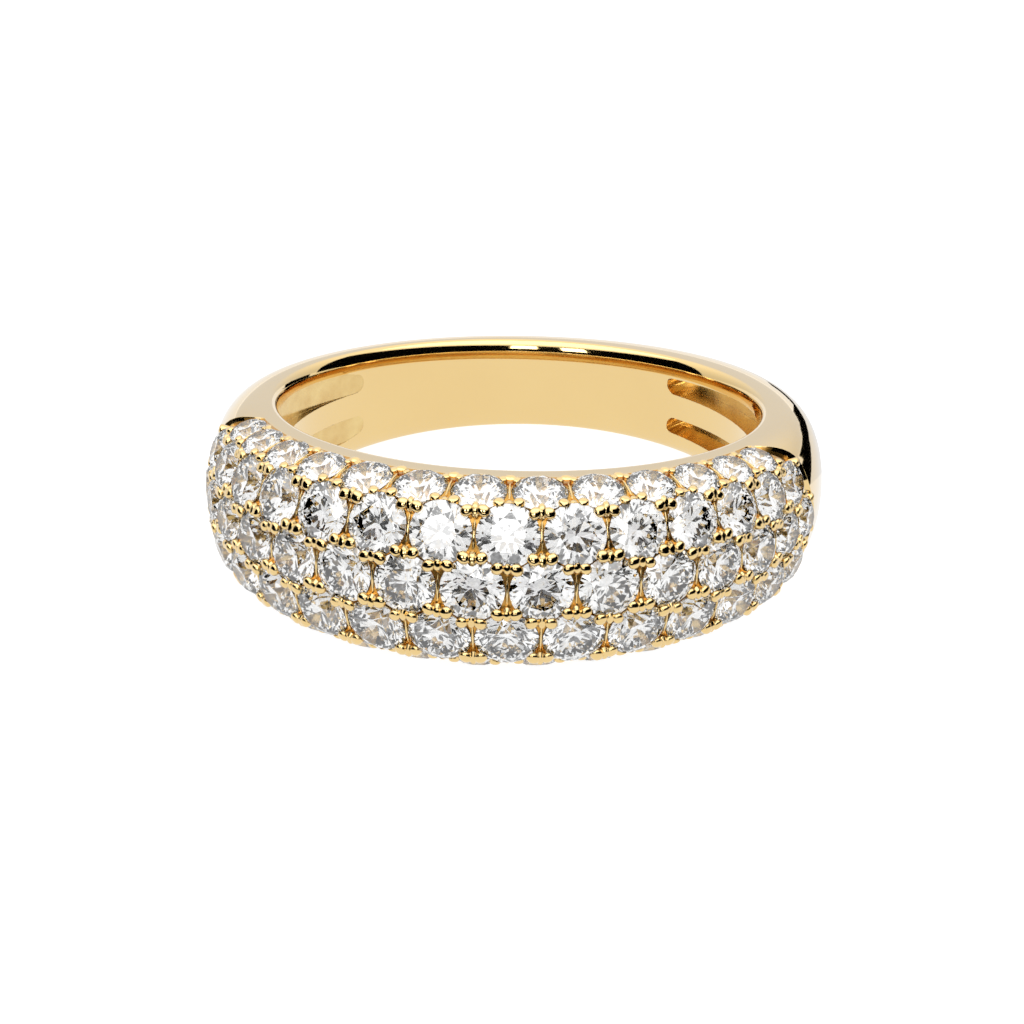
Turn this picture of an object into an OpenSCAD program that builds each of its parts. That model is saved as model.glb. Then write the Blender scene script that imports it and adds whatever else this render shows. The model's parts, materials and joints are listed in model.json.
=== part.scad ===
// Domed pave ring, lying on its side with its front towards -Y.
// The band is drawn round the finger axis first, and is then leaned onto its feet:
// the lowest stones in front and the rim at the back.

/* [Finger size] */
// Inside diameter of the finger bore
bore_d = 17.3; // [16.5:0.1:18]

/* [Band] */
// Width of the front, measured at the bore
front_w = 6.38; // [6.3:0.02:6.7]
// Width of the back, measured at the bore
back_w = 3.4; // [2.8:0.1:3.8]
// Thickness of metal at the middle of the front
front_t = 4; // [3.9:0.05:4.2]
// Thickness of metal at the middle of the back
back_t = 1.7; // [1.6:0.05:2.1]
// How soon the dome thins away from the front, where more is sooner
thinning = 1.7; // [1.5:0.05:1.9]
// How full the shoulders of the section are, where 2 is an ellipse
fullness = 4.4; // [4:0.1:4.8]

/* [Stones] */
// Girdle diameter of the stones in the middle row, at the front
middle_stone_d = 2.25; // [2:0.01:2.27]
// Girdle diameter of the stones in the rows beside it
second_stone_d = 2.15; // [1.9:0.01:2.17]
// Girdle diameter of the stones in the two outer rows
outer_stone_d = 1.76; // [1.6:0.01:1.78]
// Angle round the finger from one stone to the next, at the front
stone_pitch = 11.2; // [11.1:0.05:11.4]
// Share of its size that a stone loses by the square of its place from the middle
size_falloff = 0.0065; // [0.0062:0.0001:0.0075]
// Depth of the girdle under the dome, as a share of the stone's radius
sink = 0.02; // [0.01:0.01:0.1]
// Gap between a stone and its seat
seat_gap = 0.03; // [0.02:0.01:0.04]

/* [Grains] */
// Radius of the metal grain between three stones, at the front
grain_r = 0.17; // [0.14:0.01:0.18]
// Radius of the grain between two stones and the rim, at the front
rim_grain_r = 0.13; // [0.1:0.01:0.15]

/* [Clean-out channels] */
// Half the width of the rib left between the two channels
rib_half = 0.45; // [0.35:0.05:0.6]
// Wall left beside a channel at the front, at the bore
channel_wall = 0.3; // [0.25:0.05:0.5]
// Angle from the front to the left end of the channels
channel_left = 131; // [110:1:145]
// Angle from the front to the right end of the channels
channel_right = 146; // [120:1:150]
// Depth of a channel at the front
channel_depth = 1.2; // [0.8:0.05:1.2]
// Depth of a channel at its ends
channel_end_depth = 0.7; // [0.4:0.05:0.75]

/* [Hidden] */
bore_r = bore_d / 2;
// Rows of stones: their number, the angle round the section at which the row runs, and their radius
stone_rows = [
    [13, 70, outer_stone_d / 2],
    [14, 34, second_stone_d / 2],
    [15, 0, middle_stone_d / 2],
    [14, -34, second_stone_d / 2],
    [13, -70, outer_stone_d / 2]
];
// Rows of grains on one side of the middle, in the same columns
grain_rows = [
    [12, 77, rim_grain_r],
    [12, 62.5, grain_r],
    [13, 47, grain_r],
    [13, 23, grain_r],
    [14, 10.5, grain_r]
];
// Share of its angle that a stone's place loses by the square of that place
place_falloff = 0.0016;
// Both rims are flat, and lean this much for each millimetre towards the front
rim_slope = (front_w - back_w) / 4 / bore_r;
mid_half_w = (front_w + back_w) / 4;
// The channels' outer walls lean more than the rims, so the channels narrow towards the back
channel_slope = (front_w - back_w) / 3 / bore_r;
// Proportions of a round brilliant, as shares of its girdle radius
table_share = 0.56;
crown_share = 0.32;
pavilion_share = 0.86;
girdle_sides = 16;
table_sides = girdle_sides / 2;
// Steps of the dome round the finger and across the band
round_steps = 48;
section_angles = [-86, -78, -66, -46, -22, 0, 22, 46, 66, 78, 86];
// The flat rims start this far inside the bore, which is cut afterwards
bore_overlap = 0.4;
cut_height = 12;
channel_end_r = 0.34;

function unit(v) = v / norm(v);
function thickness(a) = back_t + (front_t - back_t) * pow((1 + cos(a)) / 2, thinning);
function half_width(a, r) = mid_half_w + rim_slope * r * cos(a);
// A point of the section, where a goes round the finger and u goes across the band
function on_radius(a, r, u) = [r * sin(a), -r * cos(a), half_width(a, r) * sin(u)];
function dome_point(a, u) = on_radius(a, bore_r + thickness(a) * pow(cos(u), 2 / fullness), u);

// Axes and origin of a frame that lies on the dome: x runs along the row, z out of the metal
function frame_at(a, u, sunk) =
    let (
        x = unit(dome_point(a + 1, u) - dome_point(a - 1, u)),
        across = dome_point(a, u + 1) - dome_point(a, u - 1),
        z = unit(cross(x, across))
    )
    [x, cross(z, x), z, dome_point(a, u) - sunk * z];

module on_dome(a, u, sunk = 0) {
    frame = frame_at(a, u, sunk);
    multmatrix([for (i = [0 : 2]) [for (column = frame) column[i]]])
        children();
}

// Places in a row, counted from its middle, and what the angle and the size come to there
function places(count) = [for (i = [0 : count - 1]) i - (count - 1) / 2];
function place_angle(place) = stone_pitch * place * (1 - place_falloff * place * place);
function tapered(size, place) = size * (1 - size_falloff * place * place);

// Each stone and each grain: [angle round, angle across, radius]
function spot(place, across, r) = [place_angle(place), across, tapered(r, place)];
stones = [for (row = stone_rows, place = places(row[0])) spot(place, row[1], row[2])];
grains = [for (row = grain_rows, side = [-1, 1], place = places(row[0])) spot(place, side * row[1], row[2])];

function ring_points(r, h, sides) =
    [for (i = [0 : sides - 1]) [r * cos(360 * i / sides), r * sin(360 * i / sides), h]];

// Brilliant: an octagonal table, a crown of 24 facets, a 16-sided girdle and a pavilion
function brilliant_points(r) = concat(
    ring_points(table_share * r, crown_share * r, table_sides),
    ring_points(r, 0, girdle_sides),
    [[0, 0, -pavilion_share * r]]
);
function table_at(i) = i % table_sides;
function girdle_at(i) = table_sides + (i + girdle_sides) % girdle_sides;
culet = table_sides + girdle_sides;
brilliant_faces = concat(
    [[for (i = [table_sides - 1 : -1 : 0]) i]],
    [for (i = [0 : table_sides - 1]) each [
        [table_at(i), girdle_at(2 * i), girdle_at(2 * i - 1)],
        [table_at(i), girdle_at(2 * i + 1), girdle_at(2 * i)],
        [table_at(i), table_at(i + 1), girdle_at(2 * i + 1)]
    ]],
    [for (i = [0 : girdle_sides - 1]) [girdle_at(i), girdle_at(i + 1), culet]]
);

// Corners of each stone as it sits on the dome
function set_corners(stone) =
    let (frame = frame_at(stone[0], stone[1], sink * stone[2]))
    [for (p = brilliant_points(stone[2])) p[0] * frame[0] + p[1] * frame[1] + p[2] * frame[2] + frame[3]];
stone_corners = [for (stone = stones) each set_corners(stone)];

// The ring rests on a line from its lowest corner in front to its lowest point at the back
back_points = [for (u = section_angles) dome_point(180, u)];
front_feet = [for (p = stone_corners) if (p[2] < 0) p];
back_feet = [for (p = back_points) if (p[2] < 0) p];
function slope(front, back) = (back[2] - front[2]) / (back[1] - front[1]);
rest_lean = atan(min([for (back = back_feet) max([for (front = front_feet) slope(front, back)])]));
function leaned(p) = [
    p[0],
    p[1] * cos(rest_lean) + p[2] * sin(rest_lean),
    p[2] * cos(rest_lean) - p[1] * sin(rest_lean)
];
leaned_y = [for (p = concat(stone_corners, back_points)) leaned(p)[1]];
rest_y = -(min(leaned_y) + max(leaned_y)) / 2;
rest_z = -min([for (p = concat(front_feet, back_feet)) leaned(p)[2]]);

module at_rest() {
    translate([0, rest_y, rest_z])
        rotate([-rest_lean, 0, 0])
            children();
}

// Domed shell: one loft round the finger, closed inside the bore
module dome() {
    inner_r = bore_r - bore_overlap;
    rings = [for (k = [0 : round_steps - 1]) let (a = 360 * k / round_steps)
        each concat(
            [on_radius(a, inner_r, -90)],
            [for (u = section_angles) dome_point(a, u)],
            [on_radius(a, inner_r, 90)]
        )];
    side = len(section_angles) + 2;
    polyhedron(rings, [for (k = [0 : round_steps - 1], i = [0 : side - 1])
        let (j = (i + 1) % side, m = (k + 1) % round_steps)
        [k * side + i, k * side + j, m * side + j, m * side + i]
    ]);
}

// Seat: a cone under the pavilion, and a straight wall from the girdle up
module seat(stone) {
    r = stone[2] + seat_gap;
    depth = pavilion_share * stone[2] + seat_gap;
    on_dome(stone[0], stone[1], sink * stone[2])
        rotate_extrude($fn = 24)
            polygon([[0, -depth], [r, 0], [r, r], [0, r]]);
}

module grain(place) {
    on_dome(place[0], place[1])
        sphere(r = place[2], $fn = 24);
}

module brilliant(stone) {
    on_dome(stone[0], stone[1], sink * stone[2])
        polyhedron(brilliant_points(stone[2]), brilliant_faces);
}

module finger_bore() {
    translate([0, 0, -cut_height / 2])
        cylinder(h = cut_height, r = bore_r, $fn = 180);
}

// One clean-out channel above the rib, between its rounded ends
module channel() {
    shift = (channel_depth - channel_end_depth) / 2;
    floor_r = bore_r + (channel_depth + channel_end_depth) / 2;
    sweep = channel_left + channel_right;
    intersection() {
        translate([0, -shift, 0])
            cylinder(h = cut_height / 2, r = floor_r, $fn = 180);
        rotate([-atan(channel_slope), 0, 0])
            translate([0, 0, front_w / 2 - channel_wall - channel_slope * bore_r - cut_height])
                cylinder(h = cut_height, r = bore_d, $fn = 90);
        union() {
            rotate([0, 0, -90 - channel_left])
                rotate_extrude(angle = sweep, $fn = 180)
                    translate([bore_r / 2, rib_half])
                        square([bore_r, cut_height / 2]);
            for (a = [-channel_left, channel_right])
                rotate([0, 0, a - 90])
                    translate([bore_r / 2, 0, rib_half + channel_end_r])
                        rotate([0, 90, 0])
                            cylinder(h = bore_r, r = channel_end_r, $fn = 48);
        }
    }
}

module band() {
    color([0.93, 0.75, 0.4])
        at_rest()
            difference() {
                union() {
                    dome();
                    for (place = grains) grain(place);
                }
                for (stone = stones) seat(stone);
                finger_bore();
                channel();
                mirror([0, 0, 1]) channel();
            }
}

module pave_stones() {
    color([0.9, 0.93, 0.97])
        at_rest()
            for (stone = stones) brilliant(stone);
}

band();
pave_stones();
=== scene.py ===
"""Looks of a domed pave ring: one polished gold band and its five rows of brilliants.

Sizes are in millimetres about the finger axis, with the ring's front towards -Y, until
a piece is moved to where the frame's finger bore lies, which is also when it becomes metres.
Angles are in degrees: a turn goes round the finger from the front, and an angle across goes
over the section from the middle of the dome. The studio's own distances are in metres.
"""

import json
import logging
import math
import random
from dataclasses import dataclass
from enum import Enum

import bmesh
import bpy
from mathutils import Matrix, Vector


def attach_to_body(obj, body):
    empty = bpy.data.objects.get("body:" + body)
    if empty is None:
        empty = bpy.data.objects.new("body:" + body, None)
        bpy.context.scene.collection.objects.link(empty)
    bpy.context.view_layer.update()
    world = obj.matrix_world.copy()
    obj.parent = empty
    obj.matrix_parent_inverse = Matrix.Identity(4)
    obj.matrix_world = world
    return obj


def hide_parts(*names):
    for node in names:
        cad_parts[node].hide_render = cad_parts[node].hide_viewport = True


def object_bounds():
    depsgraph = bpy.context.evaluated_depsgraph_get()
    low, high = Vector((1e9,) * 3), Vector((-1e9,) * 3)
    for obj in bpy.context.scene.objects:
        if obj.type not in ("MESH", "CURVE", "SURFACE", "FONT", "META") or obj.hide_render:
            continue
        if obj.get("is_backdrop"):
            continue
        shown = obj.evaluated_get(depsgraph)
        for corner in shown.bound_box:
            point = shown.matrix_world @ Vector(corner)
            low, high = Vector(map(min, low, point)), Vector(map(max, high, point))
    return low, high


LOG = logging.getLogger("ring")
METRES = 0.001
RIM_ROWS_FROM = 60.0
NEAR = 1e-4

Profile = tuple[tuple[float, float], ...]

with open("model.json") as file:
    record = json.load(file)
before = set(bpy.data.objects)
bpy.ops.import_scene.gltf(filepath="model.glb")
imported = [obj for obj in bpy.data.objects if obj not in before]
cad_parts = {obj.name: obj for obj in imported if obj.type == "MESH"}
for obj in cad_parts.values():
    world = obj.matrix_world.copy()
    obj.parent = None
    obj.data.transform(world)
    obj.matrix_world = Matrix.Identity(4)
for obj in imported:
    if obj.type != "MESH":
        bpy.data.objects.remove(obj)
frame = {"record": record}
cad_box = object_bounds()


class Operation(Enum):
    """What a boolean does with the second shape."""

    CUT = "DIFFERENCE"
    JOIN = "UNION"


class Finish(Enum):
    """Material slot of a face of the band."""

    POLISHED = 0
    CAST = 1
    # Satin between the stones; its darker gold colour is painted shade of the gaps between the stones.
    SATIN_PAINTED_SHADE = 2


class SeenBy(Enum):
    """Which reflections show a card."""

    GOLD = 1
    STONES = 2
    BOTH = 3


def smooth_step(value: float) -> float:
    """Eases a share between 0 and 1."""
    share = min(1.0, max(0.0, value))
    return share * share * (3 - 2 * share)


@dataclass(frozen=True)
class Swell:
    """A stretch where the casting is a little thicker or thinner than its even form."""

    turn: float
    spread: float
    height: float

    def at(self, turn: float) -> float:
        """How much it adds to the thickness at an angle round the finger."""
        away = (turn - self.turn + 180) % 360 - 180
        return self.height * math.exp(-((away / self.spread) ** 2))


@dataclass(frozen=True)
class DomeForm:
    """Form of the domed band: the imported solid's, with swells, a recess for the stones and soft edges."""

    bore_radius: float
    front_width: float
    back_width: float = 3.4
    front_thickness: float = 4.0
    back_thickness: float = 1.7
    thinning: float = 1.7
    fullness: float = 4.4
    swells: tuple[Swell, ...] = (Swell(-86, 32, -0.16), Swell(146, 32, 0.7), Swell(180, 30, 0.1))
    arch_turn: float = 76.6
    arch_shoulder: float = 2.4
    arch_bulge: float = 18.0
    arch_fall: float = 4.1
    arch_edge: float = 70.0
    recess: float = 0.035
    rim_recess: float = 0.015
    rim_recess_from: float = 74.0
    rim_recess_run: float = 6.0
    wall_depth: float = 0.26
    wall_run: float = 0.3
    wall_fade: float = 0.5
    lip: float = 84.5
    lip_run: float = 1.0
    slope_share: float = 0.995
    slope_step: float = 0.1
    inner_share: float = 0.3
    inner_round: float = 0.3
    inner_round_front: float = 0.58
    inner_height: float = 0.8

    @property
    def rim_slope(self) -> float:
        """How much the half width grows for each millimetre towards the front."""
        return (self.front_width - self.back_width) / 4 / self.bore_radius

    @staticmethod
    def frontness(turn: float) -> float:
        """1 at the front and 0 at the back."""
        return (1 + math.cos(math.radians(turn))) / 2

    def thickness(self, turn: float) -> float:
        """Radial thickness of the metal.

        Args:
            turn: angle round the finger.
        Returns:
            The thickness at the middle of the section.
        """
        gain = self.front_thickness - self.back_thickness
        even = self.back_thickness + gain * self.frontness(turn) ** self.thinning
        return even + sum(swell.at(turn) for swell in self.swells)

    def half_width(self, turn: float, radius: float) -> float:
        """Half the width of the band at an angle round the finger and a distance from its axis."""
        middle = (self.front_width + self.back_width) / 4
        return middle + self.rim_slope * radius * math.cos(math.radians(turn))

    def place(self, turn: float, radius: float, height: float) -> Vector:
        """A point from its angle round the finger, its radius and its height."""
        angle = math.radians(turn)
        return Vector((radius * math.sin(angle), -radius * math.cos(angle), height))

    def arch(self, across: float) -> float:
        """Where the field of stones ends, with a bulge for the last stone of the middle row.

        Args:
            across: angle across the section.
        Returns:
            The angle round the finger of the end of the field.
        """
        bulge = math.exp(-((across / self.arch_bulge) ** 2))
        fall = self.arch_fall * (across / self.arch_edge) ** 4
        return self.arch_turn - self.arch_shoulder * (1 - bulge) - fall

    def inside(self, turn: float, across: float, radius: float) -> float:
        """How far a place lies inside the field's arched end, which is less than 0 on the shank."""
        return math.radians(self.arch(across) - abs(turn)) * radius

    def sunk(self, turn: float, across: float, radius: float) -> float:
        """How far the metal between the stones lies under the dome.

        Args:
            turn: angle round the finger.
            across: angle across the section.
            radius: distance from the finger axis.
        Returns:
            The depth, which is nothing on the shank and on the rims.
        """
        inside = self.inside(turn, across, radius)
        if inside <= 0:
            return 0.0
        at_rim = smooth_step((abs(across) - self.rim_recess_from) / self.rim_recess_run)
        level = self.recess + self.rim_recess * at_rim
        fading = max(0.0, 1 - (inside - self.wall_run) / self.wall_fade)
        floor = level + (self.wall_depth - level) * min(1.0, fading)
        depth = min(floor, self.wall_depth * inside / self.wall_run)
        return depth * min(1.0, max(0.0, (self.lip - abs(across)) / self.lip_run))

    def outline(self, turn: float, across: float) -> tuple[float, float]:
        """Radius and height of the section's outline at an angle round the finger and one across."""
        fill = math.cos(math.radians(across)) ** (2 / self.fullness)
        radius = self.bore_radius + self.thickness(turn) * fill
        return radius, self.half_width(turn, radius) * math.sin(math.radians(across))

    def dome_point(self, turn: float, across: float, with_recess: bool = False) -> Vector:
        """A point on the outside of the dome.

        Args:
            turn: angle round the finger.
            across: angle across the section.
            with_recess: whether the field's recess is taken off.
        Returns:
            The point.
        """
        radius, height = self.outline(turn, across)
        if with_recess:
            before, low = self.outline(turn, across * self.slope_share - self.slope_step)
            along = Vector((radius - before, height - low)).normalized()
            depth = self.sunk(turn, across, radius)
            radius, height = radius - depth * along.y, height + depth * along.x
        return self.place(turn, radius, height)

    def finish_at(self, point: Vector) -> Finish:
        """Finish of the shell's surface.

        Args:
            point: a point of it.
        Returns:
            Satin between the stones, whose darker gold colour is painted shade, and polished elsewhere.
        """
        turn = math.degrees(math.atan2(point.x, -point.y))
        radius = math.hypot(point.x, point.y)
        if radius < self.bore_radius + self.inner_share * self.thickness(turn):
            return Finish.POLISHED
        rise = point.z / self.half_width(turn, radius)
        across = math.degrees(math.asin(min(1.0, max(-1.0, rise))))
        # Faces between the stones get the satin gold, whose darker colour is painted shade.
        within = self.inside(turn, across, radius) > self.wall_run and abs(across) < self.lip - self.lip_run
        return Finish.SATIN_PAINTED_SHADE if within else Finish.POLISHED

    def seat_frame(self, turn: float, across: float, sunk: float = 0.0) -> Matrix:
        """Frame that lies on the dome, with x along the row and z out of the metal.

        Args:
            turn: angle round the finger.
            across: angle across the section.
            sunk: depth of the frame's origin under the dome.
        Returns:
            The frame as a 4 by 4 matrix.
        """
        along = (self.dome_point(turn + 1, across) - self.dome_point(turn - 1, across)).normalized()
        beside = self.dome_point(turn, across + 1) - self.dome_point(turn, across - 1)
        out = along.cross(beside).normalized()
        rows = (along, out.cross(along), out, self.dome_point(turn, across) - sunk * out)
        return Matrix([[column[i] for column in rows] for i in range(3)] + [[0, 0, 0, 1]])


@dataclass(frozen=True)
class StoneSpot:
    """Where one stone sits, how large it is, how deep its girdle lies and how far it tilts."""

    row: int
    place: float
    turn: float
    across: float
    radius: float
    sunk: float
    tilt: float

    def seat(self, form: DomeForm) -> Matrix:
        """Frame of the stone's girdle on the dome, scaled to the stone's radius."""
        lean = Matrix.Rotation(math.radians(self.tilt), 4, "X")
        return form.seat_frame(self.turn, self.across, self.sunk) @ lean @ Matrix.Scale(self.radius, 4)


@dataclass(frozen=True)
class StoneRow:
    """One row: how many stones, where it runs, and how it thins out towards its ends."""

    count: int
    across: float
    diameter: float
    place_falloff: float
    size_falloff: float
    sink: float = 0.03

    @property
    def at_rim(self) -> bool:
        """Whether it is one of the two outer rows."""
        return abs(self.across) > RIM_ROWS_FROM

    def radius_at(self, place: float) -> float:
        """Girdle radius of a stone at a place, counted from the row's middle."""
        return self.diameter / 2 * (1 - self.size_falloff * place * place)


@dataclass(frozen=True)
class StoneField:
    """The rows of stones, from the upper rim to the lower one."""

    rows: tuple[StoneRow, ...] = (
        StoneRow(13, 70.0, 1.99, 0.0022, 0.0076, 0.08),
        StoneRow(14, 34.0, 2.29, 0.0017, 0.0064),
        StoneRow(15, 0.0, 2.33, 0.0018, 0.0068),
        StoneRow(14, -34.0, 2.29, 0.0017, 0.0064),
        StoneRow(13, -71.0, 1.83, 0.0022, 0.0050, 0.14),
    )
    pitch: float = 11.2
    end_sink: float = 0.08
    end_start: float = 54.0
    end_run: float = 16.0
    tilt: float = 1.2
    seed: int = 5

    def turn_at(self, row: StoneRow, place: float) -> float:
        """Angle round the finger of a place in a row, counted from the row's middle."""
        return self.pitch * place * (1 - row.place_falloff * place * place)

    def spots(self) -> list[StoneSpot]:
        """The place and size of each stone.

        Returns:
            The stones' spots, row by row.
        """
        chance = random.Random(self.seed)
        found = []
        for index, row in enumerate(self.rows):
            for i in range(row.count):
                place = i - (row.count - 1) / 2
                turn, radius = self.turn_at(row, place), row.radius_at(place)
                at_end = smooth_step((abs(turn) - self.end_start) / self.end_run)
                sunk = radius * (row.sink + self.end_sink * at_end)
                tilt = chance.gauss(0, self.tilt)
                found.append(StoneSpot(index, place, turn, row.across, radius, sunk, tilt))
        return found


def set_inputs(node: bpy.types.Node, values: dict[str, float | tuple[float, ...]]) -> None:
    """Sets a node's inputs by name."""
    for name, value in values.items():
        node.inputs[name].default_value = value


@dataclass(frozen=True)
class Gold:
    """Yellow gold, polished, satin or left as cast; the darker colour of the satin kind between the stones is
    painted shade.
    """

    name: str
    colour: tuple[float, float, float] = (0.9, 0.65, 0.27)
    coat: float = 1.0
    roughness: float = 0.06
    coat_index: float = 1.6
    coat_roughness: float = 0.03
    gloss_change: tuple[float, float] = (0.7, 1.4)
    mottling: float = 0.03
    mottle_scale: float = 320.0
    grain_scale: float = 2500.0
    bump: float = 0.02
    bump_height: float = 0.00002
    edge_round: float = 0.00003

    def material(self) -> bpy.types.Material:
        """Mixes the gold, with slow changes of tone and gloss and a fine grain.

        Returns:
            The material.
        """
        made = bpy.data.materials.new(self.name)
        made.use_nodes = True
        nodes, links = made.node_tree.nodes, made.node_tree.links
        shader = nodes["Principled BSDF"]
        set_inputs(shader, {"Metallic": 1.0, "Coat Weight": self.coat})
        set_inputs(shader, {"Coat IOR": self.coat_index, "Coat Roughness": self.coat_roughness})
        place = nodes.new("ShaderNodeTexCoord")
        cloud = nodes.new("ShaderNodeTexNoise")
        set_inputs(cloud, {"Scale": self.mottle_scale, "Detail": 4})
        links.new(place.outputs["Object"], cloud.inputs["Vector"])
        tone = nodes.new("ShaderNodeMixRGB")
        worn = [c * (1 - self.mottling * (2 + index)) for index, c in enumerate(self.colour)]
        set_inputs(tone, {"Color1": (*self.colour, 1), "Color2": (*worn, 1)})
        links.new(cloud.outputs["Fac"], tone.inputs["Fac"])
        links.new(tone.outputs["Color"], shader.inputs["Base Color"])
        gloss = nodes.new("ShaderNodeMapRange")
        low, high = self.gloss_change
        set_inputs(gloss, {"To Min": self.roughness * low, "To Max": self.roughness * high})
        links.new(cloud.outputs["Fac"], gloss.inputs["Value"])
        links.new(gloss.outputs["Result"], shader.inputs["Roughness"])
        grain = nodes.new("ShaderNodeTexNoise")
        set_inputs(grain, {"Scale": self.grain_scale, "Detail": 3})
        links.new(place.outputs["Object"], grain.inputs["Vector"])
        rounded = nodes.new("ShaderNodeBevel")
        rounded.samples = 4
        set_inputs(rounded, {"Radius": self.edge_round})
        raised = nodes.new("ShaderNodeBump")
        set_inputs(raised, {"Strength": self.bump, "Distance": self.bump_height})
        links.new(grain.outputs["Fac"], raised.inputs["Height"])
        links.new(rounded.outputs["Normal"], raised.inputs["Normal"])
        links.new(raised.outputs["Normal"], shader.inputs["Normal"])
        return made


@dataclass(frozen=True)
class Diamond:
    """Clear cut diamond, a little warmer in some stones than in others."""

    name: str = "diamond"
    index: float = 2.42
    warm: tuple[float, float, float] = (1.0, 0.985, 0.96)
    cool: tuple[float, float, float] = (0.97, 0.985, 1.0)
    tint_scale: float = 260.0

    def material(self) -> bpy.types.Material:
        """Mixes the diamond, clear and of a high index, with a slow change of tint.

        Returns:
            The material.
        """
        made = bpy.data.materials.new(self.name)
        made.use_nodes = True
        nodes, links = made.node_tree.nodes, made.node_tree.links
        shader = nodes["Principled BSDF"]
        set_inputs(shader, {"Roughness": 0.0, "Transmission Weight": 1.0, "IOR": self.index})
        place = nodes.new("ShaderNodeTexCoord")
        cloud = nodes.new("ShaderNodeTexNoise")
        set_inputs(cloud, {"Scale": self.tint_scale})
        tint = nodes.new("ShaderNodeMixRGB")
        set_inputs(tint, {"Color1": (*self.warm, 1), "Color2": (*self.cool, 1)})
        links.new(place.outputs["Object"], cloud.inputs["Vector"])
        links.new(cloud.outputs["Fac"], tint.inputs["Fac"])
        links.new(tint.outputs["Color"], shader.inputs["Base Color"])
        return made


def face_outwards(bm: bmesh.types.BMesh) -> None:
    """Turns the faces of a closed shape outwards.

    Args:
        bm: the shape.
    """
    bmesh.ops.recalc_face_normals(bm, faces=bm.faces[:])
    if bm.calc_volume(signed=True) < 0:
        bmesh.ops.reverse_faces(bm, faces=bm.faces[:])


def turned_profile(points: Profile, sides: int) -> bmesh.types.BMesh:
    """Turns an open profile about Z into a closed solid.

    Args:
        points: radius and height of each corner, from the lower pole to the upper one.
        sides: how many sides it has.
    Returns:
        The solid, with its faces outwards.
    """
    bm = bmesh.new()
    corners = [bm.verts.new((radius, 0, height)) for radius, height in points]
    edges = [bm.edges.new(pair) for pair in zip(corners, corners[1:])]
    bmesh.ops.spin(
        bm,
        geom=corners + edges,
        cent=(0, 0, 0),
        axis=(0, 0, 1),
        angle=math.tau,
        steps=sides,
        use_merge=True,
    )
    bmesh.ops.remove_doubles(bm, verts=bm.verts[:], dist=NEAR / 10)
    face_outwards(bm)
    return bm


def new_object(name: str, bm: bmesh.types.BMesh) -> bpy.types.Object:
    """Makes an object of a bmesh, which is freed.

    Args:
        name: the object's name.
        bm: the shape.
    Returns:
        The object, linked to the scene.
    """
    mesh = bpy.data.meshes.new(name)
    bm.to_mesh(mesh)
    bm.free()
    made = bpy.data.objects.new(name, mesh)
    bpy.context.scene.collection.objects.link(made)
    return made


def copies(name: str, pattern: bmesh.types.BMesh, places: list[Matrix]) -> bpy.types.Object:
    """Joins a copy of a shape at each place into one object.

    Args:
        name: the object's name.
        pattern: the shape that is repeated, which stays as it is.
        places: where each copy goes.
    Returns:
        The object.
    """
    unit = bpy.data.meshes.new(name + "_unit")
    pattern.to_mesh(unit)
    joined = bmesh.new()
    for place in places:
        first = len(joined.verts)
        joined.from_mesh(unit)
        joined.verts.ensure_lookup_table()
        bmesh.ops.transform(joined, matrix=place, verts=joined.verts[first:])
    bpy.data.meshes.remove(unit)
    return new_object(name, joined)


def add_slots(piece: bpy.types.Object) -> None:
    """Gives a shape of gold an empty material slot for each finish."""
    while len(piece.data.materials) < len(Finish):
        piece.data.materials.append(None)


def combine(
    piece: bpy.types.Object,
    other: bpy.types.Object,
    operation: Operation,
    finish: Finish | None = None,
) -> None:
    """Cuts another shape out of a piece, or joins it on, and removes the other.

    Args:
        piece: the piece that is changed.
        other: the shape that is used up.
        operation: what is done with it.
        finish: the finish of the faces that it leaves, or none to keep what they have.
    """
    add_slots(other)
    if finish is not None:
        for face in other.data.polygons:
            face.material_index = finish.value
    step = piece.modifiers.new("step", "BOOLEAN")
    step.operation = operation.value
    step.solver = "MANIFOLD"
    step.object = other
    graph = bpy.context.evaluated_depsgraph_get()
    result = bpy.data.meshes.new_from_object(piece.evaluated_get(graph))
    piece.modifiers.clear()
    old = piece.data
    piece.data = result
    bpy.data.meshes.remove(old)
    bpy.data.objects.remove(other)


def attach(piece: bpy.types.Object, materials: list[bpy.types.Material], node: str) -> None:
    """Gives a finished piece its materials and its part in the frame.

    Args:
        piece: the piece.
        materials: the materials of its slots.
        node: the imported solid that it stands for.
    """
    while len(piece.data.materials) < len(materials):
        piece.data.materials.append(None)
    for index, material in enumerate(materials):
        piece.data.materials[index] = material
    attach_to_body(piece, "root")
    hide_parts(node)
    LOG.info("%s has %d faces", piece.name, len(piece.data.polygons))


@dataclass(frozen=True)
class RestPlace:
    """Where the ring lies in the frame."""

    centre: Vector
    axis: Vector
    bore_radius: float
    bore_length: float

    @classmethod
    def from_record(cls, record: dict) -> "RestPlace":
        """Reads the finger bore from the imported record.

        Args:
            record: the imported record.
        Returns:
            The place.
        """
        bore = next(mount for mount in record["mounts"] if mount["name"] == "finger_bore")
        size = bore["dims"]
        return cls(Vector(bore["pos_m"]), Vector(bore["axis"]).normalized(), size["r_mm"], size["length_mm"])

    def matrix(self) -> Matrix:
        """Moves a shape from the finger axis, in millimetres, to the frame, in metres."""
        lean = Matrix.Rotation(-math.atan2(self.axis.y, self.axis.z), 4, "X")
        return Matrix.Translation(self.centre) @ lean @ Matrix.Scale(METRES, 4)

    def settle(self, piece: bpy.types.Object) -> None:
        """Moves a finished piece's mesh to its place, while its object stays at the origin."""
        piece.data.transform(self.matrix())
        piece.data.update()


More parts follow.
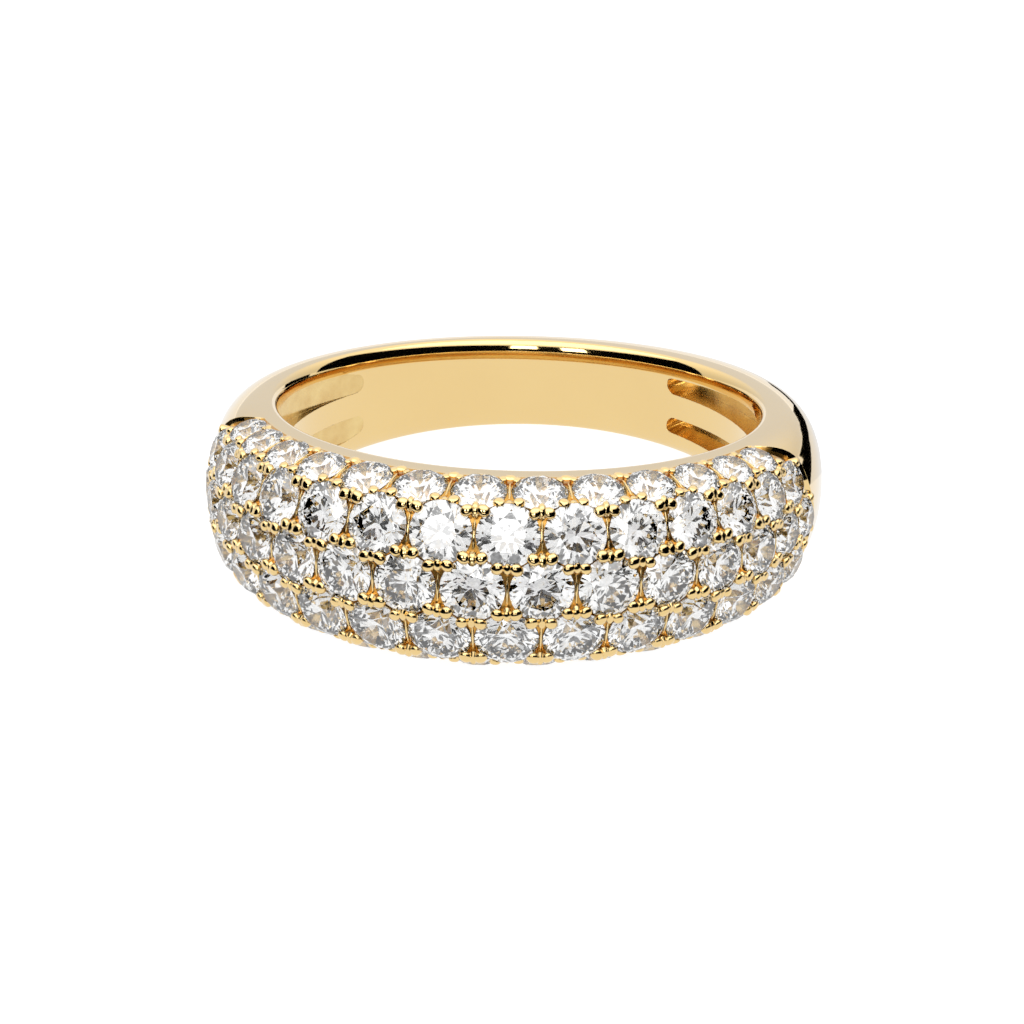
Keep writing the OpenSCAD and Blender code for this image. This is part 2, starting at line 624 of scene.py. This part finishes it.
@dataclass(frozen=True)
class Channels:
    """Clean-out channels inside the bore, milled behind the stones and run out on the left."""

    form: DomeForm
    rib_half: float = 0.46
    wall: float = 0.3
    left: float = -131.0
    right: float = 148.0
    depth: float = 1.2
    end_depth: float = 0.7
    left_depth: float = 0.0
    left_run_out: float = 60.0
    start_radius: float = 7.6
    end_radius: float = 0.36
    end_room: float = 0.004
    end_cuts: int = 8
    long_cuts: int = 90
    cross_cuts: int = 3

    def turns(self) -> list[float]:
        """Angles of the cuts, closer together in the rounded ends.

        Returns:
            The angles round the finger.
        """
        quarter = [math.pi / 2 * i / self.end_cuts for i in range(self.end_cuts + 1)]
        runs = [self.end_radius * (1 - math.cos(angle)) for angle in quarter]
        ends = [math.degrees(run / self.form.bore_radius) for run in runs]
        first, last = self.left + ends[-1], self.right - ends[-1]
        middle = [first + (last - first) * i / self.long_cuts for i in range(1, self.long_cuts)]
        return [self.left + end for end in ends] + middle + [self.right - end for end in reversed(ends)]

    def outer_height(self, turn: float, radius: float) -> float:
        """Height of the channel's outer wall.

        Args:
            turn: angle round the finger.
            radius: distance from the finger axis.
        Returns:
            The height over the middle plane.
        """
        slope = (self.form.front_width - self.form.back_width) / 3 / self.form.bore_radius
        at_front = self.form.front_width / 2 - self.wall
        return at_front + slope * (radius * math.cos(math.radians(turn)) - self.form.bore_radius)

    def depth_at(self, turn: float) -> float:
        """Depth of the channel's floor outside the bore.

        Args:
            turn: angle round the finger.
        Returns:
            The depth.
        """
        full = self.end_depth + (self.depth - self.end_depth) * self.form.frontness(turn)
        run_out = smooth_step((turn - self.left) / self.left_run_out)
        return self.left_depth + (full - self.left_depth) * run_out

    def point(self, turn: float, outward: float, upward: float) -> Vector:
        """A point of the channel's shape.

        Args:
            turn: angle round the finger.
            outward: 0 inside the bore and 1 at the channel's floor.
            upward: 0 at the rib and 1 at the outer wall.
        Returns:
            The point.
        """
        floor = self.form.bore_radius + self.depth_at(turn)
        radius = self.start_radius + (floor - self.start_radius) * outward
        low, high = self.rib_half, self.outer_height(turn, radius)
        run = math.radians(min(turn - self.left, self.right - turn)) * self.form.bore_radius
        if run < self.end_radius:
            middle = self.rib_half + self.end_radius
            half = math.sqrt(max(0.0, self.end_radius**2 - (self.end_radius - run) ** 2)) + self.end_room
            low = max(low, middle - half)
            high = min(high, middle + half)
        return self.form.place(turn, radius, low + (high - low) * upward)

    def cutter(self, side: int) -> bpy.types.Object:
        """The shape that one channel is cut with.

        Args:
            side: 1 for the upper channel and -1 for the lower one.
        Returns:
            The shape.
        """
        turns = self.turns()
        bm = bmesh.new()
        bmesh.ops.create_cube(bm, size=1)
        bmesh.ops.translate(bm, verts=bm.verts[:], vec=(0.5, 0.5, 0.5))
        for axis, cuts in ((2, len(turns) - 2), (1, self.cross_cuts)):
            along = [e for e in bm.edges if abs(e.verts[0].co[axis] - e.verts[1].co[axis]) > 1 - NEAR]
            bmesh.ops.subdivide_edges(bm, edges=along, cuts=cuts, use_grid_fill=True)
        for vert in bm.verts:
            turn = turns[round(vert.co.z * (len(turns) - 1))]
            vert.co = self.point(turn, vert.co.x, vert.co.y)
            vert.co.z *= side
        face_outwards(bm)
        return new_object("channel", bm)


@dataclass(frozen=True)
class BeadPair:
    """Two beads on one side of a stone, in shares of the stone's radius."""

    angle: float
    reach: float
    size: float
    height: float = 1.0


@dataclass(frozen=True)
class Ridge:
    """A small ridge of gold in the gap of a row, in shares of the stones' radius."""

    reach: float
    size: tuple[float, float, float]


@dataclass
class Band:
    """The gold band: its domed shell, seats, channels and the beads that hold the stones."""

    form: DomeForm
    field: StoneField
    channels: Channels
    polished: Gold = Gold("polished_gold")
    cast: Gold = Gold("cast_gold", (0.94, 0.73, 0.32), 0.6, 0.2, mottling=0.16, mottle_scale=1400.0, bump=0.3)
    # Satin gold between the stones: the rougher finish is real, but the deep, dark colour is painted shade of
    # the gaps between the stones.
    satin_painted_shade: Gold = Gold("satin_gold", (0.68, 0.37, 0.08), 0.2, 0.24, mottling=0.06, bump=0.2)
    round_step: float = 1.5
    edge_before: tuple[float, ...] = (-4, -3.2, -2.5, -2.0, -1.75, -1.6, -1.4, -0.9, -0.25)
    edge_after: tuple[float, ...] = (0, 0.12, 0.4, 0.9, 1.6)
    edge_reach: tuple[float, float] = (4.2, 2.0)
    flat_angles: tuple[float, ...] = tuple(range(0, 67, 6))
    shoulder_points: int = 22
    inner_points: int = 10
    wall_points: int = 8
    seat: Profile = (
        (0, -0.93),
        (1.012, -0.03),
        (1.02, 0.03),
        (1.035, 0.1),
        (1.06, 0.2),
        (1.1, 0.7),
        (0, 0.7),
    )
    seat_sides: int = 48
    bead_foot: Profile = ((0, -2.2), (1.02, -2.0), (1, 0.25))
    bead_top: Profile = ((0.97, 0.52), (0.86, 0.78), (0.66, 0.96), (0.38, 1.05), (0, 1.08))
    bead_sides: int = 16
    bead_stretch: float = 1.15
    bead_droop: float = 3.0
    bead_wander: float = 2.0
    bead_change: float = 0.06
    pair_between: BeadPair = BeadPair(42.5, 1.04, 0.2)
    pair_inner: BeadPair = BeadPair(40.5, 1.03, 0.215)
    pair_rim: BeadPair = BeadPair(44, 1.04, 0.15, 0.55)
    ridge: Profile = ((0, -1), (0.6, -0.8), (0.95, -0.3), (0.95, 0.3), (0.6, 0.8), (0, 1))
    ridge_between: Ridge = Ridge(0.76, (0.17, 0.27, 0.235))
    ridge_inner: Ridge = Ridge(0.74, (0.15, 0.22, 0.1))
    ridge_rim: Ridge = Ridge(0.8, (0.23, 0.18, 0.09))
    ridge_web: Ridge = Ridge(0.0, (0.055, 0.5, 0.085))
    ridge_sunk: float = 0.03
    room: Profile = ((0, -0.91), (1.012, -0.04), (1.012, 0.03), (0.775, 0.235), (0.58, 0.34), (0, 0.34))
    room_sides: int = 32
    crease: float = 32.0
    seed: int = 11

    def columns(self) -> list[float]:
        """The angles at which the shell has a section, closer together at the field's ends.

        Returns:
            The angles at the middle of the dome, in order.
        """
        end = self.form.arch_turn
        before, after = self.edge_reach
        inner = [i * self.round_step for i in range(int((end - before) / self.round_step) + 1)]
        edge = [end + step for step in self.edge_before + self.edge_after]
        rest = 180 - end - after
        count = int(rest / (2 * self.round_step))
        outer = [end + after + rest * (i + 0.5) / count for i in range(count)]
        half = inner + edge + outer
        return sorted([-c for c in half if c > 0] + half)

    def warped(self, column: float, across: float) -> float:
        """Bends the columns so that they run along the field's arched ends.

        Args:
            column: the column's angle at the middle of the dome.
            across: angle across the section.
        Returns:
            The angle round the finger there.
        """
        middle, here = self.form.arch_turn, self.form.arch(across)
        size = abs(column)
        if size <= middle:
            return column * here / middle
        beyond = here + (size - middle) * (180 - here) / (180 - middle)
        return math.copysign(beyond, column)

    def section(self, column: float) -> list[Vector]:
        """Half a section, from the middle of the dome over the rim to the middle of the bore.

        Args:
            column: the column's angle at the middle of the dome.
        Returns:
            The points of the upper half.
        """
        form = self.form
        points = [form.dome_point(self.warped(column, a), a, True) for a in self.flat_angles]
        turn = self.warped(column, 90)
        inset = form.inner_round + (form.inner_round_front - form.inner_round) * form.frontness(turn) ** 2
        first = math.cos(math.radians(self.flat_angles[-1])) ** (2 / form.fullness)
        last = inset / form.thickness(turn)
        for i in range(1, self.shoulder_points + 1):
            share = first + (last - first) * i / self.shoulder_points
            across = math.degrees(math.acos(share ** (form.fullness / 2)))
            points.append(form.dome_point(self.warped(column, across), across, True))
        corner = form.bore_radius + inset
        height = form.half_width(turn, corner) - form.inner_height
        for i in range(1, self.inner_points + 1):
            angle = math.pi / 2 * (1 + i / self.inner_points)
            radius = corner + inset * math.cos(angle)
            points.append(form.place(turn, radius, height + form.inner_height * math.sin(angle)))
        for i in range(1, self.wall_points + 1):
            points.append(form.place(turn, form.bore_radius, height * (1 - i / self.wall_points)))
        return points

    def shell(self) -> bpy.types.Object:
        """The domed shell, spun from a ring of points and then drawn to its sections.

        Returns:
            The shell, with the finish of each face.
        """
        columns = self.columns()
        sections = [self.section(column) for column in columns]
        half = len(sections[0]) - 1
        around = 2 * half
        centre, radius = 3.0, 1.0
        bm = bmesh.new()
        ring = bmesh.ops.create_circle(bm, segments=around, radius=radius)["verts"]
        bmesh.ops.rotate(bm, verts=ring, cent=(0, 0, 0), matrix=Matrix.Rotation(math.pi / 2, 3, "X"))
        bmesh.ops.translate(bm, verts=ring, vec=(centre, 0, 0))
        bmesh.ops.spin(
            bm,
            geom=bm.verts[:] + bm.edges[:],
            cent=(0, 0, 0),
            axis=(0, 0, 1),
            angle=math.tau,
            steps=len(columns),
            use_merge=True,
        )
        for vert in bm.verts:
            turn = math.atan2(vert.co.y, vert.co.x) % math.tau
            tube = math.atan2(vert.co.z, math.hypot(vert.co.x, vert.co.y) - centre) - math.pi / 2
            points = sections[round(turn / math.tau * len(columns)) % len(columns)]
            index = round(tube / math.tau * around) % around
            low = index > half
            point = points[around - index if low else index]
            vert.co = Vector((point.x, point.y, -point.z)) if low else point
        face_outwards(bm)
        for face in bm.faces:
            face.material_index = self.form.finish_at(face.calc_center_median()).value
        shell = new_object("gold_band", bm)
        add_slots(shell)
        return shell

    def frames(self, choice: int | None = None) -> list[Matrix]:
        """Frames of the stones' girdles, each scaled to its stone's radius.

        Args:
            choice: which of the four groups of stones that don't touch, or all of them.
        Returns:
            The frames.
        """
        return [
            spot.seat(self.form)
            for spot in self.field.spots()
            if choice is None or choice == 2 * (spot.row % 2) + math.floor(spot.place) % 2
        ]

    def cut_at_stones(self, band: bpy.types.Object, profile: Profile, sides: int, finish: Finish) -> None:
        """Cuts a turned shape out at each stone, in four turns so that the shapes stay apart.

        Args:
            band: the band so far.
            profile: the shape's profile, in shares of the stone's radius.
            sides: how many sides it has.
            finish: the finish that it leaves.
        """
        pattern = turned_profile(profile, sides)
        for choice in range(4):
            combine(band, copies("cuts", pattern, self.frames(choice)), Operation.CUT, finish)
        pattern.free()

    def pair_at(self, spot: StoneSpot, side: int) -> BeadPair:
        """The kind of bead pair on one side of a stone.

        Args:
            spot: the stone.
            side: 1 for its upper side and -1 for its lower side.
        Returns:
            The pair.
        """
        if not self.field.rows[spot.row].at_rim:
            return self.pair_between
        return self.pair_rim if side * spot.across > 0 else self.pair_inner

    def bead_places(self, chance: random.Random, side: int, ahead: bool) -> list[Matrix]:
        """Frames of one of the four beads at each stone.

        Args:
            chance: source of the beads' small differences.
            side: 1 for the upper side of the stones and -1 for the lower side.
            ahead: whether it is the bead further round to the right.
        Returns:
            The frames.
        """
        places = []
        for spot, girdle in zip(self.field.spots(), self.frames()):
            pair = self.pair_at(spot, side)
            even = side * (pair.angle if ahead else 180 - pair.angle)
            angle = math.radians(even + chance.uniform(-self.bead_wander, self.bead_wander))
            size = pair.size * chance.uniform(1 - self.bead_change, 1 + self.bead_change)
            reach = pair.reach + size * (self.bead_stretch - 1)
            out = Matrix.Translation((reach * math.cos(angle), reach * math.sin(angle), 0))
            droop = math.radians(self.bead_droop + chance.gauss(0, self.bead_wander))
            turned = Matrix.Rotation(angle, 4, "Z") @ Matrix.Rotation(droop, 4, "Y")
            form = Matrix.Diagonal((size * self.bead_stretch, size, size * pair.height, 1))
            places.append(girdle @ out @ turned @ form)
        return places

    def ridge_at(self, row: StoneRow, side: int) -> Ridge:
        """The kind of ridge in the gaps of a row.

        Args:
            row: the row.
            side: 1 for its upper side, -1 for its lower side and 0 for the webs.
        Returns:
            The ridge.
        """
        if side == 0:
            return self.ridge_web
        if not row.at_rim:
            return self.ridge_between
        return self.ridge_rim if side * row.across > 0 else self.ridge_inner

    def ridge_places(self, side: int) -> list[Matrix]:
        """Frames of the ridges between the two beads of a pair, or along the webs.

        Args:
            side: 1 for the upper side of the stones, -1 for the lower side and 0 for the webs.
        Returns:
            The frames.
        """
        places = []
        for row in self.field.rows:
            ridge = self.ridge_at(row, side)
            for i in range(row.count - 1):
                place = i + 1 - row.count / 2
                gap = self.form.seat_frame(self.field.turn_at(row, place), row.across, self.ridge_sunk)
                scaled = gap @ Matrix.Scale(row.radius_at(place), 4)
                away = Matrix.Translation((0, side * ridge.reach, 0))
                places.append(scaled @ away @ Matrix.Diagonal((*ridge.size, 1)))
        return places

    def add_beads(self, band: bpy.types.Object) -> None:
        """Joins on the round-topped beads that hold the stones, and the ridges between them.

        Args:
            band: the shell with its seats.
        """
        chance = random.Random(self.seed)
        bead = turned_profile(self.bead_foot + self.bead_top, self.bead_sides)
        for side in (1, -1):
            for ahead in (True, False):
                combine(band, copies("beads", bead, self.bead_places(chance, side, ahead)), Operation.JOIN)
        bead.free()
        ridge = turned_profile(self.ridge, self.bead_sides)
        for side in (1, 0, -1):
            combine(band, copies("ridges", ridge, self.ridge_places(side)), Operation.JOIN)
        ridge.free()

    def build(self) -> bpy.types.Object:
        """Makes the whole band.

        Returns:
            The band about the finger axis, in millimetres.
        """
        band = self.shell()
        self.cut_at_stones(band, self.seat, self.seat_sides, Finish.CAST)
        for side in (1, -1):
            combine(band, self.channels.cutter(side), Operation.CUT, Finish.CAST)
        self.add_beads(band)
        self.cut_at_stones(band, self.room, self.room_sides, Finish.POLISHED)
        return band

    def dress(self, band: bpy.types.Object, rest: RestPlace) -> None:
        """Lays the band in its place and gives it its finishes.

        Args:
            band: the finished band.
            rest: where the ring lies.
        """
        rest.settle(band)
        band.data.set_sharp_from_angle(angle=math.radians(self.crease))
        finishes = {Finish.POLISHED: self.polished, Finish.CAST: self.cast, Finish.SATIN_PAINTED_SHADE: self.satin_painted_shade}
        attach(band, [finishes[finish].material() for finish in Finish], "band")


@dataclass(frozen=True)
class BrilliantCut:
    """Round brilliant of 57 facets, for a girdle radius of 1."""

    table: float = 0.56
    crown_angle: float = 34.5
    pavilion_angle: float = 40.75
    girdle: float = 0.03
    star: float = 0.5
    lower_half: float = 0.77
    girdle_sides: int = 32
    blank_depth: float = 2.4

    @staticmethod
    def around(radius: float, angle: float, height: float) -> Vector:
        """A point from its radius, angle and height."""
        return Vector((radius * math.cos(angle), radius * math.sin(angle), height))

    @staticmethod
    def through(a: Vector, b: Vector, c: Vector) -> tuple[Vector, Vector]:
        """The plane through three points, as a point and a normal away from the stone's middle."""
        normal = (b - a).cross(c - a).normalized()
        return a, normal if normal.dot(a) > 0 else -normal

    def facet_planes(self) -> list[tuple[Vector, Vector]]:
        """Works out each facet's plane, in the order in which they are cut.

        Returns:
            A point and the outward normal of each plane.
        """
        edge = self.girdle / 2
        rise = math.tan(math.radians(self.crown_angle))
        drop = math.tan(math.radians(self.pavilion_angle))
        top = edge + (1 - self.table) * rise
        half = math.pi / 8
        star_tip = self.star * self.table * math.cos(half) + (1 - self.star)
        around, through = self.around, self.through
        planes = [(Vector((0, 0, top)), Vector((0, 0, 1)))]
        for k in range(8):
            main = k * math.pi / 4
            beside = around(1, main + math.pi / 2, 0)
            high, low = around(1, main, edge), around(1, main, -edge)
            planes.append(through(high, high + beside, around(self.table, main, top)))
            planes.append(through(low, low + beside, Vector((0, 0, -edge - drop))))
        for k in range(8):
            side = k * math.pi / 4 + half
            tip = around(star_tip, side, top - (star_tip * math.cos(half) - self.table) * rise)
            low = 1 - self.lower_half
            low_tip = around(low, side, -edge - (1 - low * math.cos(half)) * drop)
            for flank in (-half, half):
                planes.append(through(around(1, side + flank, edge), around(1, side, edge), tip))
                planes.append(through(around(1, side + flank, -edge), around(1, side, -edge), low_tip))
            before, beyond = around(self.table, side - half, top), around(self.table, side + half, top)
            planes.append(through(before, beyond, tip))
        return planes

    def cut(self) -> bmesh.types.BMesh:
        """Cuts the stone out of a round blank, plane by plane.

        Returns:
            The stone, with its girdle's middle at the origin and its table up.
        """
        bm = bmesh.new()
        sides, depth = self.girdle_sides, self.blank_depth
        bmesh.ops.create_cone(bm, cap_ends=True, segments=sides, radius1=1, radius2=1, depth=depth)
        for point, normal in self.facet_planes():
            found = bmesh.ops.bisect_plane(
                bm,
                geom=bm.verts[:] + bm.edges[:] + bm.faces[:],
                dist=NEAR,
                plane_co=point,
                plane_no=normal,
                clear_outer=True,
            )["geom_cut"]
            rim = [g for g in found if isinstance(g, bmesh.types.BMEdge)]
            bmesh.ops.edgeloop_fill(bm, edges=rim)
        bmesh.ops.remove_doubles(bm, verts=bm.verts[:], dist=NEAR)
        face_outwards(bm)
        return bm


@dataclass
class PaveStones:
    """The field of brilliants, joined into one piece."""

    form: DomeForm
    field: StoneField
    cut: BrilliantCut = BrilliantCut()
    finish: Diamond = Diamond()
    seed: int = 8

    def build(self) -> bpy.types.Object:
        """Cuts one stone and sets a copy at each place, each turned its own way.

        Returns:
            The stones about the finger axis, in millimetres.
        """
        chance = random.Random(self.seed)
        pattern = self.cut.cut()
        turns = [Matrix.Rotation(chance.uniform(0, math.pi / 4), 4, "Z") for _ in self.field.spots()]
        places = [spot.seat(self.form) @ turn for spot, turn in zip(self.field.spots(), turns)]
        stones = copies("brilliants", pattern, places)
        pattern.free()
        return stones

    def dress(self, stones: bpy.types.Object, rest: RestPlace) -> None:
        """Lays the stones in their place and gives them their finish.

        Args:
            stones: the finished stones.
            rest: where the ring lies.
        """
        rest.settle(stones)
        attach(stones, [self.finish.material()], "pave_stones")


@dataclass(frozen=True)
class Card:
    """A curved card for reflections, seen by no camera, with its edges in degrees round the ring."""

    name: str
    left: float
    right: float
    low: float
    high: float
    seen_by: SeenBy = SeenBy.GOLD
    distance: float = 0.6
    glow: float = 0.0
    rows: int = 6
    columns: int = 24

    def build(self) -> bpy.types.Object:
        """Spins a curved strip of the card's height round the ring.

        Returns:
            The card.
        """
        bm = bmesh.new()
        first = math.radians(self.low)
        start = bm.verts.new((0, -self.distance * math.cos(first), self.distance * math.sin(first)))
        rise = math.radians(self.low - self.high)
        bmesh.ops.spin(bm, geom=[start], cent=(0, 0, 0), axis=(1, 0, 0), angle=rise, steps=self.rows)
        turned = Matrix.Rotation(math.radians(self.left), 3, "Z")
        bmesh.ops.rotate(bm, verts=bm.verts[:], cent=(0, 0, 0), matrix=turned)
        sweep = math.radians(self.right - self.left)
        geom = bm.verts[:] + bm.edges[:]
        bmesh.ops.spin(bm, geom=geom, cent=(0, 0, 0), axis=(0, 0, 1), angle=sweep, steps=self.columns)
        bmesh.ops.remove_doubles(bm, verts=bm.verts[:], dist=NEAR / 100)
        return new_object(self.name, bm)


@dataclass(frozen=True)
class Sheet:
    """A sheet that lies on the floor for reflections, in millimetres, seen by no camera."""

    name: str
    corners: tuple[tuple[float, float], ...]
    height: float = 0.1
    glow: float = 0.0
    seen_by: SeenBy = SeenBy.GOLD

    def build(self) -> bpy.types.Object:
        """Fills the outline of the sheet.

        Returns:
            The sheet.
        """
        bm = bmesh.new()
        corners = [bm.verts.new((x * METRES, y * METRES, self.height * METRES)) for x, y in self.corners]
        edges = [bm.edges.new(pair) for pair in zip(corners, corners[1:] + corners[:1])]
        bmesh.ops.edgeloop_fill(bm, edges=edges)
        return new_object(self.name, bm)


@dataclass(frozen=True)
class Studio:
    """Pale floor, soft sky, cards and sheets for reflections, and the camera."""

    rest: RestPlace
    cards: tuple[Card, ...] = (
        Card("card_front", -92, 122, 0, 35.5),
        Card("card_top", -110, 110, 44, 88, glow=2.1),
        Card("card_stones", -50, 45, 3, 27, SeenBy.STONES, distance=0.45, glow=0.08),
        Card("card_back_right", 138, 165, 0, 6, distance=0.046),
        Card("lamp_left", -27, -14, 20, 33, distance=0.4, glow=4.5),
        Card("lamp_right", -1, 13, 22, 35, distance=0.4, glow=4.1),
        Card("window", -18, 14, 1, 13, distance=0.4, glow=1.6),
    )
    sheets: tuple[Sheet, ...] = (
        Sheet("sheet_all", ((-900, -900), (900, -900), (900, 900), (-900, 900)), 0.05, 0.97, SeenBy.BOTH),
        Sheet(
            "sheet_front",
            ((-600, -600), (600, -600), (600, -6), (24, -6), (14, -22), (-14, -22), (-24, -6), (-600, -6)),
        ),
        Sheet("sheet_back", ((8, 28), (18, 26), (17.5, 16), (16, 8), (34, 8), (38, 30), (30, 42), (8, 46))),
        Sheet("sheet_right", ((9, 7), (16, 8), (17.5, 16), (18, 26), (8, 28), (4, 20)), glow=0.85),
    )
    camera_turn: float = 7.14
    camera_height: float = 20.47
    camera_distance: float = 0.35
    lens: float = 338.3
    sensor: float = 36.0
    shift_x: float = -0.0064
    shift_y: float = -0.04525
    floor_size: float = 30.0
    floor_tone: float = 0.4
    floor_glow: float = 0.9
    sky_rise: tuple[float, float] = (0.1, 0.65)
    sky_foot: float = 0.78
    sky_top: float = 1.2
    horizon: float = 0.012
    bounces: int = 20
    clear_bounces: int = 16
    gloss_bounces: int = 8

    def camera(self) -> None:
        """Places the camera at the photograph's viewing angle."""
        turn, height = math.radians(self.camera_turn), math.radians(self.camera_height)
        level = math.cos(height)
        out = Vector((math.sin(turn) * level, -math.cos(turn) * level, math.sin(height)))
        out = self.rest.matrix().to_3x3() @ out
        data = bpy.data.cameras.new("camera")
        data.lens = self.lens
        data.sensor_width = self.sensor
        data.shift_x, data.shift_y = self.shift_x, self.shift_y
        data.clip_start, data.clip_end = 0.01, 20
        camera = bpy.data.objects.new("camera", data)
        camera.location = self.rest.centre + out.normalized() * self.camera_distance
        camera.rotation_euler = out.to_track_quat("Z", "Y").to_euler()
        bpy.context.scene.collection.objects.link(camera)
        bpy.context.scene.camera = camera

    @staticmethod
    def paint(thing: bpy.types.Object, tone: float, glow: float) -> None:
        """Gives a thing of the studio a dull grey paint.

        Args:
            thing: the floor or a card.
            tone: how light it is.
            glow: how much it shines by itself.
        """
        paint = bpy.data.materials.new(thing.name + "_paint")
        paint.use_nodes = True
        shader = paint.node_tree.nodes["Principled BSDF"]
        set_inputs(shader, {"Base Color": (tone, tone, tone, 1), "Roughness": 1.0, "Specular IOR Level": 0.0})
        set_inputs(shader, {"Emission Color": (1, 1, 1, 1), "Emission Strength": glow})
        thing.data.materials.append(paint)
        thing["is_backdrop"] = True

    def floor(self) -> None:
        """Lays the pale floor."""
        bm = bmesh.new()
        bmesh.ops.create_grid(bm, x_segments=1, y_segments=1, size=self.floor_size / 2)
        self.paint(new_object("floor", bm), self.floor_tone, self.floor_glow)

    def hang(self, thing: bpy.types.Object, seen_by: SeenBy, glow: float) -> None:
        """Paints a card and shows it to the reflections that are to see it.

        Args:
            thing: the card.
            seen_by: which reflections show it.
            glow: how much it shines.
        """
        self.paint(thing, 0.0, glow)
        thing.visible_camera = False
        thing.visible_shadow = False
        thing.visible_diffuse = False
        thing.visible_glossy = seen_by is not SeenBy.STONES
        thing.visible_transmission = seen_by is not SeenBy.GOLD

    def light(self) -> None:
        """Lights the scene from a soft sky, darker at its foot but white at the very horizon."""
        world = bpy.data.worlds.new("studio")
        world.use_nodes = True
        nodes, links = world.node_tree.nodes, world.node_tree.links
        place = nodes.new("ShaderNodeTexCoord")
        parts = nodes.new("ShaderNodeSeparateXYZ")
        tone = nodes.new("ShaderNodeMapRange")
        set_inputs(tone, {"From Min": self.sky_rise[0], "From Max": self.sky_rise[1]})
        set_inputs(tone, {"To Min": self.sky_foot, "To Max": self.sky_top})
        horizon = nodes.new("ShaderNodeMath")
        horizon.operation = "COMPARE"
        horizon.inputs[1].default_value = 0.0
        horizon.inputs[2].default_value = self.horizon
        lighter = nodes.new("ShaderNodeMath")
        lighter.operation = "MAXIMUM"
        links.new(place.outputs["Generated"], parts.inputs["Vector"])
        links.new(parts.outputs["Z"], tone.inputs["Value"])
        links.new(parts.outputs["Z"], horizon.inputs[0])
        links.new(tone.outputs["Result"], lighter.inputs[0])
        links.new(horizon.outputs["Value"], lighter.inputs[1])
        links.new(lighter.outputs["Value"], nodes["Background"].inputs["Strength"])
        nodes["Background"].inputs["Color"].default_value = (1, 1, 1, 1)
        bpy.context.scene.world = world

    def build(self) -> None:
        """Sets up the whole studio."""
        self.camera()
        self.floor()
        self.light()
        for card in self.cards:
            self.hang(card.build(), card.seen_by, card.glow)
        for sheet in self.sheets:
            self.hang(sheet.build(), sheet.seen_by, sheet.glow)
        scene = bpy.context.scene
        scene.view_settings.view_transform = "Standard"
        scene.cycles.max_bounces = self.bounces
        scene.cycles.transmission_bounces = self.clear_bounces
        scene.cycles.glossy_bounces = self.gloss_bounces


def main() -> None:
    """Builds the ring and its studio."""
    logging.basicConfig(level=logging.INFO, format="%(name)s: %(message)s")
    rest = RestPlace.from_record(frame["record"])
    form = DomeForm(rest.bore_radius, rest.bore_length)
    field = StoneField()
    Studio(rest).build()
    band = Band(form, field, Channels(form))
    band.dress(band.build(), rest)
    stones = PaveStones(form, field)
    stones.dress(stones.build(), rest)
    boxes = {"cad": cad_box, "visual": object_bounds()}
    {name: [list(corner) for corner in box] for name, box in boxes.items()}


if __name__ == "__main__":
    main()
